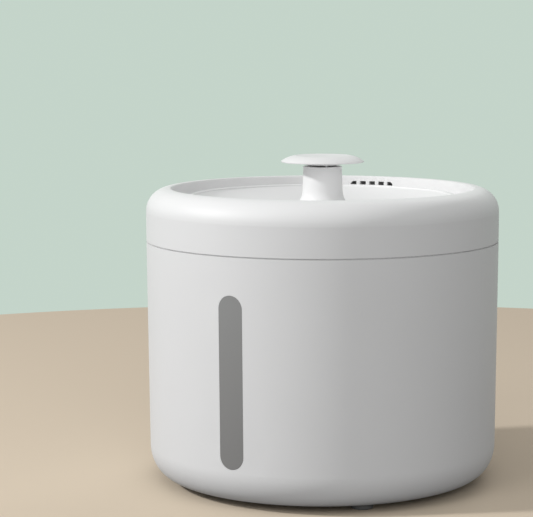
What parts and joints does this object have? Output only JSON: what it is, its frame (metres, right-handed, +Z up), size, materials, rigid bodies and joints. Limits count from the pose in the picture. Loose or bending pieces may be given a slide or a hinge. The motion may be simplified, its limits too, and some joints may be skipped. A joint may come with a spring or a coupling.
{
  "type": "pet water fountain",
  "caption": "Round white pet water fountain: tank with a level window, rounded cover, drinking dish with a mushroom spout, filter cartridge and submersible pump.",
  "frame": {"origin": "on the floor under the feet, on the fountain's own axis", "axes": "+Z up, -Y out of the level window, +Y out of the lead's grommet"},
  "size_m": [0.18, 0.18, 0.1666],
  "materials": {
    "white_shell": "satin moulded",
    "white_inner": "moulded",
    "window_grey": "smoked, translucent",
    "rubber_grey": "matt",
    "rubber_clear": "silicone",
    "pump_plastic": "moulded",
    "rotor_blue": "moulded",
    "ferrite": "ground",
    "shaft_white": "polished",
    "steel_lamination": "laminated",
    "copper_winding": "enamelled copper",
    "carbon": "granular",
    "resin": "beads",
    "cotton": "felt",
    "sponge": "open foam"
  },
  "bodies": {
    "tank": {"tank_shell": "white_shell", "window_lens": "window_grey", "window_gasket": "rubber_grey", "cable_grommet": "rubber_grey", "foot_1": "rubber_grey", "foot_2": "rubber_grey", "foot_3": "rubber_grey", "foot_4": "rubber_grey"},
    "cover": {"top_cover": "white_shell"},
    "tray": {"drinking_tray": "white_shell"},
    "spout": {"spout_stem": "white_shell", "spout_seal": "rubber_clear"},
    "cap": {"spout_cap": "white_shell"},
    "basket": {"filter_tray": "white_inner"},
    "filter": {"filter_frame": "white_inner", "filter_carbon": "carbon", "filter_resin": "resin", "filter_cotton": "cotton", "filter_grille": "white_inner"},
    "pump": {"pump_body": "pump_plastic", "pump_front_cover": "pump_plastic", "pump_back_plate": "pump_plastic", "pump_lead_gland": "rubber_grey", "stator_core": "steel_lamination", "stator_coil": "copper_winding", "rotor_shaft": "shaft_white", "shaft_bush_front": "rubber_clear", "shaft_bush_rear": "rubber_clear", "pump_case_base": "white_inner", "pump_case_lid": "white_inner", "riser_tube": "rubber_clear", "prefilter_sponge": "sponge", "suction_cup_1": "rubber_clear", "suction_cup_2": "rubber_clear", "suction_cup_3": "rubber_clear", "suction_cup_4": "rubber_clear"},
    "rotor": {"impeller": "rotor_blue", "rotor_magnet": "ferrite"},
    "slider": {"flow_slider": "white_inner"}
  },
  "joints": [
    {"name": "cover_lift", "type": "slide", "parent": "tank", "child": "cover", "axis": [0, 0, 1], "range_m": [0, 0.25]},
    {"name": "tray_lift", "type": "slide", "parent": "cover", "child": "tray", "axis": [0, 0, 1], "range_m": [0, 0.03]},
    {"name": "spout_lift", "type": "slide", "parent": "tray", "child": "spout", "axis": [0, 0, 1], "range_m": [0, 0.03]},
    {"name": "cap_lift", "type": "slide", "parent": "spout", "child": "cap", "axis": [0, 0, 1], "range_m": [0, 0.02]},
    {"name": "basket_lift", "type": "slide", "parent": "tank", "child": "basket", "axis": [0, 0, 1], "range_m": [0, 0.18]},
    {"name": "filter_lift", "type": "slide", "parent": "basket", "child": "filter", "axis": [0, 0, 1], "range_m": [0, 0.03]},
    {"name": "pump_lift", "type": "slide", "parent": "tank", "child": "pump", "axis": [0, 0, 1], "range_m": [0, 0.125]},
    {"name": "rotor_spin", "type": "hinge", "parent": "pump", "child": "rotor", "pos_m": [0, 0.012, 0.036], "axis": [0, 1, 0], "continuous": true},
    {"name": "flow_adjust", "type": "slide", "parent": "pump", "child": "slider", "axis": [1, 0, 0], "range_m": [-0.0035, 0.0035]}
  ],
  "couplings": [
    {"joint": "basket_lift", "follows": "cover_lift", "ratio": 0.72},
    {"joint": "filter_lift", "follows": "cover_lift", "ratio": 0.12},
    {"joint": "pump_lift", "follows": "cover_lift", "ratio": 0.5}
  ]
}
